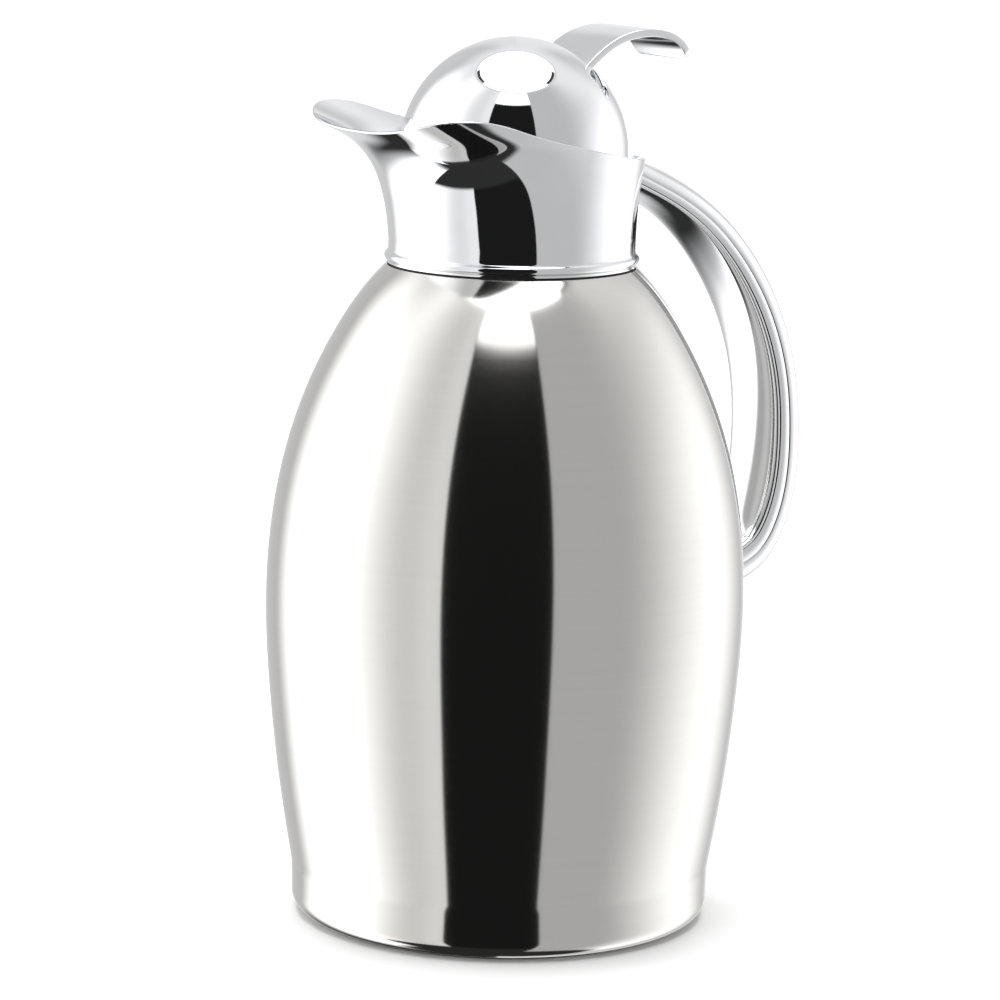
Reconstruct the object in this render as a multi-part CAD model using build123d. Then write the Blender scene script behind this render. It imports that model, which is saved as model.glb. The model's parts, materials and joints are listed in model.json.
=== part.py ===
"""Vacuum coffee pot with a ball-shaped stopper, a thumb lever and an arched handle.

Millimetres. +Z is up and the pot stands on z = 0 with its axis on Z.
The spout points to -X and the handle to +X.
"""

import math
import os

from build123d import *

# ---------------------------------------------------------------- driving dimensions

# Body
BODY_R = 70.0  # largest radius
BODY_R_Z = 93.0  # height of the largest radius
BODY_FOOT_R = 61.7  # radius where the body leaves the base band
BODY_FOOT_Z = 15.4
SHOULDER_R = 36.4  # radius where the shoulder goes under the collar
SHOULDER_Z = 191.85
SHEET = 0.8  # steel sheet of both vacuum walls
VACUUM_GAP = 5.5

# Base
BASE_R = 61.3
BASE_CORNER = 5.0
BASE_TOP_Z = 15.3
PAD_H = 0.6
PAD_R = 56.0

# Neck
NECK_OUT_R = 32.2  # outer wall's neck
NECK_IN_R = 27.0  # mouth of the flask
NECK_TOP_Z = 199.0

# Collar
COLLAR_R = 35.9
COLLAR_WALL = 1.5
COLLAR_FOOT_Z = 192.2
BEAD_R = 37.0
BEAD_Z = 194.2
SKIRT_TOP_Z = 203.0  # where the round skirt goes over into the flared wall
LEDGE_R = 29.0
LEDGE_Z = (200.2, 202.0)

# Stopper
FLANGE_R = 31.3
FLANGE_Z = (203.4, 205.4)
TUBE_R = 25.6
TUBE_BORE = 23.4
TUBE_FOOT_Z = 160.0
THREAD_R = 26.7  # smooth stand-in for the thread's crests
DECK_Z = (210.6, 212.6)
DECK_R = 31.0
CUP_R = 18.5
CUP_Z = (166.0, 202.0)

# Dome
DOME_R = 33.0
DOME_Z = 224.7  # centre of the ball
DOME_WALL = 1.6

# Lever and its pivot
PIVOT_X = -22.0
PIVOT_Z = 238.0
PIN_R = 1.5
LEVER_W = 26.0
LEVER_T = 2.2
ARM_HALF = 7.0
NOSE_R = 4.0  # cam nose that pushes the button
LEVER_SWING = 16.0  # degrees

# Valve
STEM_R = 3.0
BUTTON_Z = 230.0
VALVE_TRAVEL = 6.0
VALVE_R = 17.0
SEAT_R = 14.0
BASE_DISC_Z = 156.0

# Handle
HANDLE_W = 23.6
HANDLE_WALL = 2.0
SEAM_SHARE = 0.31  # depth of the seam between the handle's shells, as a share of its thickness
SCREW_Z = 214.5  # the two screws behind the collar wall

RUN = 0.05  # running clearance between turned pieces
FIT = 0.02  # clearance of a screw in its pilot hole


# ---------------------------------------------------------------- helpers


def cylinder(radius, low, high, x=0.0, y=0.0):
    """Upright cylinder from height low to height high."""
    solid = Cylinder(radius, high - low, align=(Align.CENTER, Align.CENTER, Align.MIN))
    return Pos(x, y, low) * solid


def ring(inner, outer, low, high, x=0.0, y=0.0):
    return cylinder(outer, low, high, x, y) - cylinder(inner, low - 1, high + 1, x, y)


def block(x0, x1, half_y, z0, z1):
    """Box centred on the XZ plane."""
    return Pos((x0 + x1) / 2, 0, (z0 + z1) / 2) * Box(x1 - x0, 2 * half_y, z1 - z0)


def turned_edges(edges):
    """Solid of revolution about Z from edges that close an outline."""
    return revolve(Plane.XZ * make_face(edges), Axis.Z)


def slab(outline, half_y):
    """Extrude a face drawn in (x, z) symmetrically about the XZ plane."""
    return extrude(Plane.XZ * outline, amount=half_y, both=True)


def parallel(curve, distance, start=0.0, stop=1.0, count=9):
    """Points beside a curve, at a distance to its left."""
    points = []
    for i in range(count):
        u = start + (stop - start) * i / (count - 1)
        place = curve @ u
        along = curve % u
        points.append((place.X - distance * along.Y, place.Y + distance * along.X))
    return points


def bar(start, end, radius, half_y):
    """Rounded bar between two (x, z) points, symmetrical about the XZ plane."""
    length = math.dist(start, end)
    angle = math.degrees(math.atan2(end[1] - start[1], end[0] - start[0]))
    middle = ((start[0] + end[0]) / 2, (start[1] + end[1]) / 2)
    outline = Pos(*middle) * (Rot(0, 0, angle) * SlotCenterToCenter(length, 2 * radius))
    return slab(outline, half_y)


def polar(radius, degrees):
    return radius * math.cos(math.radians(degrees)), radius * math.sin(math.radians(degrees))


def save(name, shape):
    export_step(shape, f"parts/{name}.step")


# ---------------------------------------------------------------- body

# Outer profile of the pot, from the base band to the shoulder.
BODY_LINE = Spline(
    (BODY_FOOT_R, BODY_FOOT_Z),
    (64.8, 34.0),
    (68.3, 62.7),
    (BODY_R, BODY_R_Z),
    (67.7, 123.2),
    (60.4, 151.5),
    (50.5, 172.8),
    (38.4, 189.8),
    (SHOULDER_R, SHOULDER_Z),
    tangents=[(0.2, 1), (-0.7, 0.71)],
)


def outer_shell():
    inner = parallel(BODY_LINE, SHEET, 0.01)
    lap_r = BASE_R - SHEET - RUN
    neck_in = NECK_OUT_R - SHEET
    neck_foot = SHOULDER_Z + 0.15
    lap = Polyline((BODY_FOOT_R, BODY_FOOT_Z), (lap_r, BODY_FOOT_Z), (lap_r, 9.0), (lap_r - SHEET, 9.0),
                   (lap_r - SHEET, BODY_FOOT_Z + 0.6), inner[0])
    neck_top = NECK_TOP_Z - SHEET
    neck = Polyline((SHOULDER_R, SHOULDER_Z), (NECK_OUT_R, neck_foot), (NECK_OUT_R, neck_top),
                    (neck_in, neck_top), (neck_in, neck_foot - 0.6), inner[-1])
    return turned_edges(BODY_LINE + lap + neck + Spline(*inner))


def inner_flask():
    """Deep steel flask, hung from its lip, with the vacuum all round it."""
    wall_r = NECK_IN_R + SHEET
    side = parallel(BODY_LINE, SHEET + VACUUM_GAP, 0.0, 0.92)
    outer = Spline(*side, (wall_r, 189.5), tangents=[(0.15, 1), (0, 1)])
    inner = parallel(outer, SHEET, count=25)
    foot = outer @ 0
    floor_z = 12.6
    corner = foot.Y - floor_z
    floor_r = foot.X - corner
    top = NECK_TOP_Z
    knuckle = (floor_r + 0.75 * corner, floor_z + 0.3 * corner)
    bottom = Polyline((0, floor_z), (floor_r, floor_z), knuckle, (foot.X, foot.Y))
    inside = Polyline((0, floor_z + SHEET), (floor_r, floor_z + SHEET),
                      (knuckle[0] - SHEET, knuckle[1] + SHEET), inner[0])
    lip = Polyline((wall_r, 189.5), (wall_r, top - SHEET), (NECK_OUT_R, top - SHEET), (NECK_OUT_R, top),
                   (NECK_IN_R, top), inner[-1])
    axis = Line((0, floor_z), (0, floor_z + SHEET))
    return turned_edges(bottom + outer + lip + Spline(*inner) + inside + axis)


def base_cup():
    """Outer bottom cup, with the rounded foot corner and the plain band."""
    corner = CenterArc((BASE_R - BASE_CORNER, PAD_H + BASE_CORNER), BASE_CORNER, -90, 90)
    inside = CenterArc((BASE_R - BASE_CORNER, PAD_H + BASE_CORNER), BASE_CORNER - SHEET + RUN, -90, 90)
    inner_r = BASE_R - SHEET + RUN
    band = Polyline((BASE_R, PAD_H + BASE_CORNER), (BASE_R, BASE_TOP_Z),
                    (inner_r, BASE_TOP_Z), (inner_r, PAD_H + BASE_CORNER))
    plate_top = PAD_H + SHEET - RUN
    plate = Polyline((BASE_R - BASE_CORNER, PAD_H), (0, PAD_H), (0, plate_top),
                     (BASE_R - BASE_CORNER, plate_top))
    return turned_edges(corner + inside + band + plate)


SHELL_FLOOR_Z = 8.0


def shell_floor():
    """Vacuum-tight plate that closes the outer wall, with the evacuation hole in its middle."""
    edge_r = BASE_R - 2 * SHEET - 2 * RUN
    plate = cylinder(edge_r, SHELL_FLOOR_Z, SHELL_FLOOR_Z + SHEET)
    rim = ring(edge_r - SHEET, edge_r, SHELL_FLOOR_Z, SHELL_FLOOR_Z + 3)
    return plate + rim - cylinder(2.0 + RUN, SHELL_FLOOR_Z - 1, SHELL_FLOOR_Z + 2)


def seal_plug():
    head_z = SHELL_FLOOR_Z - 1.0
    return cylinder(4.5, head_z, SHELL_FLOOR_Z) + cylinder(2.0, head_z, SHELL_FLOOR_Z + 0.6)


def neck_ring():
    """Plastic ring on the steel neck that carries the collar."""
    ring_top = LEDGE_Z[0] - 1.9
    body = ring(NECK_OUT_R + RUN, COLLAR_R - COLLAR_WALL - RUN, SHOULDER_Z + 0.65, ring_top)
    grooves = ring(33.7, 36.0, 194.4, 195.2) + ring(33.7, 36.0, 196.4, 197.2)
    return body - grooves


def collar_gasket():
    """Thin dark gasket under the collar's bead."""
    return ring(34.6, 36.1, SHOULDER_Z + 0.15, COLLAR_FOOT_Z)


# ---------------------------------------------------------------- collar with the spout

# Height, reach to the spout, half width, reach to the handle, and how square the spout's half is,
# where 2 is an ellipse.
COLLAR_SECTIONS = [
    (SKIRT_TOP_Z, COLLAR_R, COLLAR_R, COLLAR_R, 2.0),
    (208.0, 37.0, 36.1, 36.05, 2.0),
    (214.0, 38.7, 36.6, 36.6, 2.04),
    (220.0, 41.0, 37.2, 37.5, 2.12),
    (225.0, 44.4, 38.0, 38.5, 2.25),
    (229.0, 49.0, 38.9, 39.4, 2.4),
    (232.0, 54.6, 39.8, 40.2, 2.52),
    (235.0, 60.6, 40.6, 41.0, 2.62),
    (239.0, 68.4, 41.8, 42.0, 2.7),
]
# Side view of the rim: high beside the spout, dipping over its lip, falling to the handle.
RIM = Spline(
    (-62.0, 227.0),
    (-55.5, 232.4),
    (-49.0, 236.3),
    (-41.0, 237.6),
    (-31.0, 236.5),
    (-20.0, 233.4),
    (-3.4, 229.3),
    (16.3, 225.5),
    (31.6, 223.3),
    (46.0, 222.6),
)


def oval(height, reach, half, back, power):
    """Level outline of the collar: a full half oval to the spout and half an ellipse to the handle."""
    front = EllipticalCenterArc((0, 0), reach, half, start_angle=90, arc_size=180)
    if power > 2:
        points = []
        for degrees in range(90, 271, 15):
            c, s = polar(1.0, degrees)
            radius = ((abs(c) / reach) ** power + (abs(s) / half) ** power) ** (-1 / power)
            points.append((radius * c, radius * s))
        front = Spline(*points, tangents=[(-1, 0), (1, 0)])
    rear = EllipticalCenterArc((0, 0), back, half, start_angle=-90, arc_size=180)
    return Pos(0, 0, height) * make_face(front + rear)


def collar_form(wall):
    """Solid inside the collar's flared wall, thinner all round by the wall given."""
    sections = []
    last = len(COLLAR_SECTIONS) - 1
    for i, (height, reach, half, back, power) in enumerate(COLLAR_SECTIONS):
        low, high = COLLAR_SECTIONS[max(i - 1, 0)], COLLAR_SECTIONS[min(i + 1, last)]
        lean = (high[1] - low[1]) / (high[0] - low[0]) if i else 0.0
        front_wall = wall * math.hypot(1, lean)
        sections.append(oval(height, reach - front_wall, half - wall, back - wall, power))
    return loft(sections)


def below_rim():
    edge = RIM + Polyline(RIM @ 1, (80, 222.6), (80, 180), (-80, 180), (-80, 227), RIM @ 0)
    return slab(make_face(edge), 60)


def collar_spout():
    wall = (collar_form(0) - collar_form(COLLAR_WALL)) & below_rim()
    inner_r = COLLAR_R - COLLAR_WALL
    bead = ThreePointArc((36.2, COLLAR_FOOT_Z), (BEAD_R, BEAD_Z), (36.1, 196.2))
    foot = Polyline((36.1, 196.2), (COLLAR_R, 196.8), (COLLAR_R, SKIRT_TOP_Z), (inner_r, SKIRT_TOP_Z),
                    (inner_r, COLLAR_FOOT_Z), (36.2, COLLAR_FOOT_Z))
    skirt = turned_edges(bead + foot)
    ledge = ring(LEDGE_R, inner_r + 0.4, *LEDGE_Z)
    collar = wall + skirt + ledge
    for side in (-1, 1):
        collar -= Pos(30, side * 6, SCREW_Z) * Rot(0, 90, 0) * cylinder(1.55, 0, 12)
    return collar


# ---------------------------------------------------------------- handle

HANDLE_LINE = Spline(
    (36.0, 218.6),
    (50.0, 212.2),
    (64.0, 203.2),
    (77.5, 189.3),
    (86.5, 175.0),
    (93.0, 157.0),
    (95.3, 135.5),
    (91.6, 111.5),
    (84.5, 101.0),
    (74.0, 96.2),
    (64.0, 93.0),
)
# Thickness of the handle along its line, as fractions of the line and millimetres.
HANDLE_THICKNESS = [
    (0.0, 9.6),
    (0.12, 10.2),
    (0.3, 12.2),
    (0.5, 13.4),
    (0.7, 14.6),
    (0.85, 15.2),
    (0.94, 14.4),
    (1.0, 12.8),
]


def thickness_at(u):
    for (u0, t0), (u1, t1) in zip(HANDLE_THICKNESS, HANDLE_THICKNESS[1:]):
        if u <= u1:
            return t0 + (t1 - t0) * (u - u0) / (u1 - u0)
    return HANDLE_THICKNESS[-1][1]


def handle_form(wall, start, stop, count):
    """Loft of rounded sections along the handle's line."""
    sections = []
    for i in range(count):
        u = start + (stop - start) * i / (count - 1)
        place, along = HANDLE_LINE @ u, HANDLE_LINE % u
        plane = Plane((place.X, 0, place.Y), x_dir=(0, 1, 0), z_dir=(along.X, 0, along.Y))
        width = HANDLE_W - 2 * wall
        depth = thickness_at(u) - 2 * wall
        sections.append(plane * RectangleRounded(width, depth, 0.42 * depth))
    return loft(sections)


def handle_inside():
    """Space on the pot's side of the seam between the two handle shells."""
    places = [i / 11 for i in range(12)]
    seam = Spline(*[parallel(HANDLE_LINE, -SEAM_SHARE * thickness_at(u), u, u, 2)[0] for u in places])
    first, last = seam @ 0, seam @ 1
    close = Polyline(last, (last.X - 30, last.Y - 6), (10, 150), (first.X - 20, first.Y + 4), first)
    return slab(make_face(seam + close), 20)


def body_keep_out():
    """The pot's outside, with a hair of room, that the handle's lower end fits over."""
    keep = parallel(BODY_LINE, -0.15)
    closing = Polyline(keep[-1], (0, keep[-1][1]), (0, keep[0][1]), keep[0])
    return turned_edges(Spline(*keep) + closing)


BRACKET_Z = (97.2, 99.8)
BRACKET_X = 86.0
BOTTOM_SCREW_X = 80.0
BOTTOM_SCREW_Z = 93.6  # underside of the shell that the screw's head pulls up on


def handle_shells():
    whole = handle_form(0, 0.0, 1.0, 16)
    hollow = handle_form(HANDLE_WALL, 0.2, 1.04, 14)
    collar = collar_form(0) + cylinder(BEAD_R, 190, SKIRT_TOP_Z)
    form = whole - collar - body_keep_out()
    shell = form - hollow
    for side in (-1, 1):
        shell -= Pos(30, side * 6, SCREW_Z) * Rot(0, 90, 0) * cylinder(1.5 + FIT, 0, 22)
    shell -= cylinder(1.5 + RUN, 80, BRACKET_Z[1] + 3, BOTTOM_SCREW_X)
    shell -= cylinder(3.1, 80, BOTTOM_SCREW_Z, BOTTOM_SCREW_X)
    inside = handle_inside()
    return shell - inside, shell & inside


def handle_top_screws():
    screws = []
    for side in (-1, 1):
        head = cylinder(2.3, 3.2, 3.9)
        shank = cylinder(1.5, 3.9, 20)
        screws.append(Pos(30, side * 6, SCREW_Z) * Rot(0, 90, 0) * (head + shank))
    return Compound(children=screws)


def handle_bracket():
    """Steel tongue welded to the body, inside the handle's lower end."""
    tongue = block(60, BRACKET_X, 6, *BRACKET_Z) - body_keep_out()
    return tongue - cylinder(1.5 + FIT, 80, 110, BOTTOM_SCREW_X)


def handle_bottom_screw():
    head = cylinder(2.9, BOTTOM_SCREW_Z - 1.8, BOTTOM_SCREW_Z, BOTTOM_SCREW_X)
    return head + cylinder(1.5, BOTTOM_SCREW_Z, BRACKET_Z[1] + 2, BOTTOM_SCREW_X)


# ---------------------------------------------------------------- stopper

POST_PLACES = [polar(26.4, angle) for angle in (30, 150, 210, 330)]
DOME_SCREW_PLACES = [polar(29.0, angle) for angle in (60, 180, 300)]


def stopper_body():
    tube = ring(TUBE_BORE, TUBE_R, TUBE_FOOT_Z, FLANGE_Z[1])
    thread = ring(TUBE_R - 0.5, THREAD_R, 172, 192)
    flange = ring(TUBE_BORE, FLANGE_R, *FLANGE_Z)
    body = tube + thread + flange
    for x, y in POST_PLACES:
        body += cylinder(2.6, FLANGE_Z[0] + 0.5, DECK_Z[0], x, y)
    for x, y in POST_PLACES:
        body -= cylinder(1.0 + FIT, FLANGE_Z[0] + 1, DECK_Z[0] + 1, x, y)
    return body


def stopper_base():
    """Bottom ring with the valve's seat under it."""
    disc = ring(SEAT_R, TUBE_R, BASE_DISC_Z, TUBE_FOOT_Z)
    return disc + ring(21.6, TUBE_BORE - RUN, TUBE_FOOT_Z - 0.5, TUBE_FOOT_Z + 4)


def insulation_cup():
    low, high = CUP_Z
    cup = cylinder(CUP_R, low, high) - cylinder(CUP_R - 1.5, low + 1.5, high + 1)
    tube = cylinder(5.2, low, DECK_Z[0])
    return cup + tube - cylinder(STEM_R + 0.4, low - 1, DECK_Z[0] + 1)


def insulation_lid():
    return ring(5.2 + RUN, CUP_R, CUP_Z[1], CUP_Z[1] + 1.5)


def insulation_foam():
    return ring(5.3, CUP_R - 1.6, CUP_Z[0] + 1.6, CUP_Z[1] - 0.1)


def stopper_deck():
    """Plate over the pouring windows that carries the dome and the lever's cradle."""
    deck = cylinder(DECK_R, *DECK_Z) + ring(5.2 + RUN, 7.6, DECK_Z[0] - 3, DECK_Z[0] + 0.5)
    deck -= cylinder(STEM_R + RUN, DECK_Z[0] - 4, DECK_Z[1] + 1)
    deck -= cylinder(5.2 + RUN, DECK_Z[0] - 4, DECK_Z[0])
    for x, y in POST_PLACES:
        deck -= cylinder(1.0 + RUN, DECK_Z[0] - 1, DECK_Z[1] + 1, x, y)
    for x, y in DOME_SCREW_PLACES:
        deck -= cylinder(1.1 + RUN, DECK_Z[0] - 1, DECK_Z[1] + 1, x, y)
    for x, y in CRADLE_SCREW_PLACES:
        deck -= cylinder(1.0 + FIT, DECK_Z[0] - 1, DECK_Z[1] + 1, x, y)
    return deck


def deck_screws():
    screws = []
    for x, y in POST_PLACES:
        head = cylinder(1.9, DECK_Z[1], DECK_Z[1] + 1.2, x, y)
        screws.append(head + cylinder(1.0, FLANGE_Z[1] - 0.5, DECK_Z[1] + 0.5, x, y))
    return Compound(children=screws)


CRADLE_SCREW_PLACES = [(-13.0, 4.5), (-13.0, -4.5)]
CRADLE_BASE_TOP = DECK_Z[1] + 1.6
EAR_IN = ARM_HALF + 0.2
EAR_OUT = 9.2


def lever_cradle():
    """Bracket with two ears that hold the lever's pin."""
    cradle = block(-25.0, -9.5, EAR_OUT, DECK_Z[1], CRADLE_BASE_TOP)
    ear = bar((PIVOT_X + 0.5, DECK_Z[1] + 3.4), (PIVOT_X, PIVOT_Z), 3.2, EAR_OUT)
    ear -= block(-40, 0, EAR_IN, DECK_Z[1], PIVOT_Z + 10)
    cradle += ear
    cradle -= Pos(PIVOT_X, 0, PIVOT_Z) * Rot(90, 0, 0) * Cylinder(PIN_R + FIT, 40)
    for x, y in CRADLE_SCREW_PLACES:
        cradle -= cylinder(1.0 + RUN, DECK_Z[1] - 1, CRADLE_BASE_TOP + 1, x, y)
    return cradle


def cradle_screws():
    screws = []
    for x, y in CRADLE_SCREW_PLACES:
        head = cylinder(1.9, CRADLE_BASE_TOP, CRADLE_BASE_TOP + 1.2, x, y)
        screws.append(head + cylinder(1.0, DECK_Z[0] + 0.2, CRADLE_BASE_TOP + 0.5, x, y))
    return Compound(children=screws)


def pivot_pin():
    return Pos(PIVOT_X, 0, PIVOT_Z) * Rot(90, 0, 0) * Cylinder(PIN_R, 2 * EAR_OUT + 0.8)


SLOT_FOOT_Z = 239.0


def ball_form(radius, deeper=0.0):
    """Ball on a cylinder of its own radius, down to the deck or deeper."""
    return Pos(0, 0, DOME_Z) * Sphere(radius) + cylinder(radius, DECK_Z[0] - deeper, DOME_Z)


def dome_cover():
    """Ball-shaped cover with a straight skirt and the lever's slot at the back."""
    inner_r = DOME_R - DOME_WALL
    cover = ball_form(DOME_R) - cylinder(DOME_R + 1, DOME_Z - DOME_R - 1, DECK_Z[0]) - ball_form(inner_r, 1)
    for x, y in DOME_SCREW_PLACES:
        cover += cylinder(2.8, DECK_Z[1] + 0.1, 222, x, y) & ball_form(inner_r + 0.8)
    for x, y in DOME_SCREW_PLACES:
        cover -= cylinder(1.1 + FIT, DECK_Z[1] - 1, 220.5, x, y)
    foot_z = SLOT_FOOT_Z
    outline = Polyline((8, foot_z), (40, foot_z), (40, 262), (28.3, 262), (8, 246.3), close=True)
    return cover - slab(make_face(outline), LEVER_W / 2 + 0.4)


def dome_screws():
    screws = []
    for x, y in DOME_SCREW_PLACES:
        head = cylinder(1.9, DECK_Z[0] - 1.3, DECK_Z[0], x, y)
        screws.append(head + cylinder(1.1, DECK_Z[0] - 0.5, 220, x, y))
    return Compound(children=screws)


def stopper_seal():
    """Silicone ring between the stopper's flange and the collar's ledge."""
    return ring(LEDGE_R - 1.6, FLANGE_R - 0.4, LEDGE_Z[1] + RUN, FLANGE_Z[0] - RUN)


# ---------------------------------------------------------------- lever

# Top of the thumb plate, from its root inside the dome to its drooping tip.
LEVER_LINE = Spline(
    (13.0, 247.3),
    (20.6, 253.9),
    (28.5, 258.2),
    (37.3, 259.7),
    (45.0, 258.8),
    (51.0, 255.3),
    (53.4, 251.4),
)


def lever():
    under = parallel(LEVER_LINE, -LEVER_T, count=13)
    root, tip = LEVER_LINE @ 0, LEVER_LINE @ 1
    outline = LEVER_LINE + Line(tip, under[-1]) + Spline(*under) + Line(under[0], root)
    plate = slab(make_face(outline), LEVER_W / 2)
    plan = Pos(33.4, 0, 240) * extrude(RectangleRounded(40, LEVER_W, 3), 40)
    plate = plate & (plan + block(5, 30, LEVER_W / 2, 240, 270))
    arm = bar((PIVOT_X, PIVOT_Z), (0, PIVOT_Z - 3.5), 3.2, ARM_HALF)
    nose = Pos(0, 0, BUTTON_Z + 0.1 + NOSE_R) * Rot(90, 0, 0) * Cylinder(NOSE_R, 2 * ARM_HALF)
    rise = bar((0, PIVOT_Z - 3.5), (13.4, 247.4), 2.4, ARM_HALF)
    whole = plate + arm + nose + rise
    return whole - Pos(PIVOT_X, 0, PIVOT_Z) * Rot(90, 0, 0) * Cylinder(PIN_R + RUN, 40)


# ---------------------------------------------------------------- valve

DISC_Z = (151.0, 153.5)
SPRING_FOOT = DECK_Z[1] + 0.1
SPRING_TOP = BUTTON_Z - 4.1
SPRING_R = 5.2
SPRING_WIRE = 0.9
SPRING_TURNS = 5


def valve_stem():
    stem = cylinder(STEM_R, DISC_Z[0] - 2.0, BUTTON_Z - 1)
    return stem - ring(2.2, 5, DISC_Z[0] - 0.9, DISC_Z[0])


def valve_clip():
    return ring(2.25, 5.0, DISC_Z[0] - 0.85, DISC_Z[0] - 0.05) - block(0, 6, 1.6, 149, 152)


def valve_disc():
    disc = cylinder(VALVE_R, *DISC_Z) + cylinder(6, DISC_Z[1] - 0.5, DISC_Z[1] + 4)
    return disc - cylinder(STEM_R + FIT, DISC_Z[0] - 1, DISC_Z[1] + 5)


def valve_seal():
    return ring(VALVE_R - 5, VALVE_R, DISC_Z[1], BASE_DISC_Z - 0.2)


def stem_button():
    button = cylinder(7, BUTTON_Z - 4, BUTTON_Z)
    return button - cylinder(STEM_R + FIT, BUTTON_Z - 5, BUTTON_Z - 1)


def return_spring():
    wire = SPRING_WIRE / 2
    height = SPRING_TOP - SPRING_FOOT - SPRING_WIRE
    path = Helix(height / SPRING_TURNS, height, SPRING_R)
    section = Plane(path @ 0, z_dir=path % 0) * Circle(wire)
    return Pos(0, 0, SPRING_FOOT + wire) * sweep(section, path)


# ---------------------------------------------------------------- output

def main():
    os.makedirs("parts", exist_ok=True)
    outer_handle, inner_handle = handle_shells()
    pieces = {
        "outer_shell": outer_shell(),
        "inner_flask": inner_flask(),
        "base_cup": base_cup(),
        "base_pad": cylinder(PAD_R, 0, PAD_H),
        "shell_floor": shell_floor(),
        "seal_plug": seal_plug(),
        "getter": cylinder(6.5, SHELL_FLOOR_Z + SHEET, SHELL_FLOOR_Z + 3, 30),
        "neck_ring": neck_ring(),
        "neck_gasket": ring(LEDGE_R - 0.5, NECK_OUT_R - 0.2, NECK_TOP_Z, LEDGE_Z[0]),
        "collar_gasket": collar_gasket(),
        "collar_spout": collar_spout(),
        "handle_outer_shell": outer_handle,
        "handle_inner_shell": inner_handle,
        "handle_top_screws": handle_top_screws(),
        "handle_bracket": handle_bracket(),
        "handle_bottom_screw": handle_bottom_screw(),
        "stopper_body": stopper_body(),
        "stopper_base": stopper_base(),
        "insulation_cup": insulation_cup(),
        "insulation_lid": insulation_lid(),
        "insulation_foam": insulation_foam(),
        "stopper_deck": stopper_deck(),
        "deck_screws": deck_screws(),
        "lever_cradle": lever_cradle(),
        "cradle_screws": cradle_screws(),
        "pivot_pin": pivot_pin(),
        "dome_cover": dome_cover(),
        "dome_screws": dome_screws(),
        "stopper_seal": stopper_seal(),
        "lever": lever(),
        "valve_stem": valve_stem(),
        "valve_clip": valve_clip(),
        "valve_disc": valve_disc(),
        "valve_seal": valve_seal(),
        "stem_button": stem_button(),
        "return_spring": return_spring(),
    }
    for name, shape in pieces.items():
        save(name, shape)


main()
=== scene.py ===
import json
import math

import bmesh
import bpy
import numpy as np
from mathutils import Matrix, Vector


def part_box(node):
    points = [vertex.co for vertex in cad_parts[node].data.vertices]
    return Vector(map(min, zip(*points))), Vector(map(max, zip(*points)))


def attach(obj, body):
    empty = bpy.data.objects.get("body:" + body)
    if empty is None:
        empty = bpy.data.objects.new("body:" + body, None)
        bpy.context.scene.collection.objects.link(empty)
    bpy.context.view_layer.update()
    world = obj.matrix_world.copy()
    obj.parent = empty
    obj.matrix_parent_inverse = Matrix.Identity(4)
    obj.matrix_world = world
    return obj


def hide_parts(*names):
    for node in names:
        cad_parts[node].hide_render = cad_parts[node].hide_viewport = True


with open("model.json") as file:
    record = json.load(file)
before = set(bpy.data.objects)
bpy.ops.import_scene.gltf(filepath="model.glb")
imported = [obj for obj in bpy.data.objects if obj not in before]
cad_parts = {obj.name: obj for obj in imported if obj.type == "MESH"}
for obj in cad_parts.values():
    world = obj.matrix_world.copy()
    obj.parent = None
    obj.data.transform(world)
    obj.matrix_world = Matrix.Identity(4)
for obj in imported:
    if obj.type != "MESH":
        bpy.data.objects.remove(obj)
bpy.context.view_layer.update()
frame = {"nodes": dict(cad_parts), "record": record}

# Lengths in this script are millimetres in the part's frame, and become metres when a mesh is made.
MM = 0.001


# ---------------------------------------------------------------- sizes

BODY_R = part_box("outer_shell")[1][0] / MM
BAND_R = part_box("base_cup")[1][0] / MM
BAND_FOOT_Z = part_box("base_cup")[0][2] / MM
PAD_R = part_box("base_pad")[1][0] / MM
NECK_TOP_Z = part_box("outer_shell")[1][2] / MM
COLLAR_FOOT_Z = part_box("collar_spout")[0][2] / MM
DOME_TOP_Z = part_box("dome_cover")[1][2] / MM
DOME_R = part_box("dome_cover")[1][1] / MM
DOME_FOOT_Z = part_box("dome_cover")[0][2] / MM
HANDLE_W = 2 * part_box("handle_outer_shell")[1][1] / MM
LEVER_W = 2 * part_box("lever")[1][1] / MM

SHEET = 0.8  # steel sheet
CORNER = 5.0  # foot corner of the base band
NECK_R = 32.2
COLLAR_R = 35.9
COLLAR_WALL = 1.5
LIP_T = 0.8  # the wall thins towards its rolled lip
BEAD_R = 37.0
LEDGE_R = 29.0
LEDGE_Z = (200.2, 202.0)
DOME_WALL = 1.6
DOME_Z = DOME_TOP_Z - DOME_R
SLOT_FOOT_Z = 239.0
LEVER_T = 2.2
PIVOT = (-22.0, 238.0)
BUTTON_TOP_Z = 230.0
NOSE_R = 4.0
ARM_HALF = 7.0
SEAM_SHARE = 0.31  # depth of the seam between the handle's shells, as a share of its thickness
HAIR = 0.05  # hair gap between steel parts
RIM_RANGE_Z = (215.0, 239.0)  # the collar's rim lies between these heights
VIEW_SIDE = 34.0  # degrees, from straight ahead of the pot's side towards its spout
TURNS = 288  # segments round the pot

BODY_LINE = [
    (61.7, 15.4),
    (64.8, 34.0),
    (68.3, 62.7),
    (BODY_R, 93.0),
    (67.7, 123.2),
    (60.4, 151.5),
    (50.5, 172.8),
    (38.4, 189.8),
    (36.4, 191.85),
]

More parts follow.
